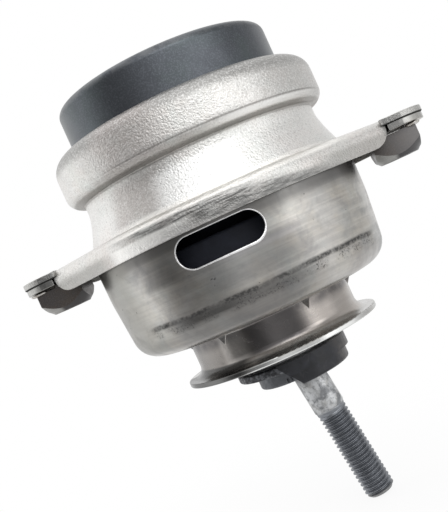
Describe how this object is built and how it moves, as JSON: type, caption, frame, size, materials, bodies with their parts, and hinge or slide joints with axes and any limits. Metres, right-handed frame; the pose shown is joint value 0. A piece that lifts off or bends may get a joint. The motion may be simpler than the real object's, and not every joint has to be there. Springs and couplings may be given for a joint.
{
  "type": "hydraulic engine mount",
  "caption": "Fluid-filled engine mount: pressed steel canister with an eared flange, black end cap, square weld nuts, slotted bowl and a leaning threaded stud on a sprung core.",
  "frame": {"origin": "midway between the ear holes on the upper face of the ears, where the bracket sits", "axes": "X through the ear holes, Z along the canister with the cap up and the stud down"},
  "size_m": [0.1702, 0.114, 0.185],
  "materials": {
    "blasted_steel": "bright bead-blasted plate",
    "drawn_steel": "drawn steel, handled and smudged",
    "black_cap": "satin black coating",
    "nut_steel": "dark oiled steel",
    "inner_steel": "phosphated sheet",
    "cast_alloy": "as cast",
    "boss_alloy": "mottled casting",
    "stud_steel": "phosphated thread, blotchy shank",
    "black_rubber": "moulded natural rubber"
  },
  "bodies": {
    "housing": {"upper_housing": "blasted_steel", "lower_housing": "drawn_steel", "weld_nut_left": "nut_steel", "weld_nut_right": "nut_steel", "reservoir_cap": "black_cap", "outer_ring": "inner_steel", "seal_ring": "black_rubber", "track_body": "cast_alloy", "track_lid": "inner_steel", "membrane": "black_rubber", "bellows": "black_rubber", "main_rubber": "black_rubber"},
    "moving_core": {"core": "cast_alloy", "stud": "stud_steel", "end_boss": "boss_alloy", "boss_lobe": "black_rubber", "limiter_plate": "inner_steel", "bump_bumper": "black_rubber", "rebound_bumper": "black_rubber", "throat_sleeve": "black_rubber"}
  },
  "joints": [
    {"name": "core_travel", "type": "slide", "parent": "housing", "child": "moving_core", "axis": [0, 0, 1], "range_m": [-0.004, 0.004], "stiffness_N_per_m": 150000, "deforming": ["main_rubber"]}
  ]
}
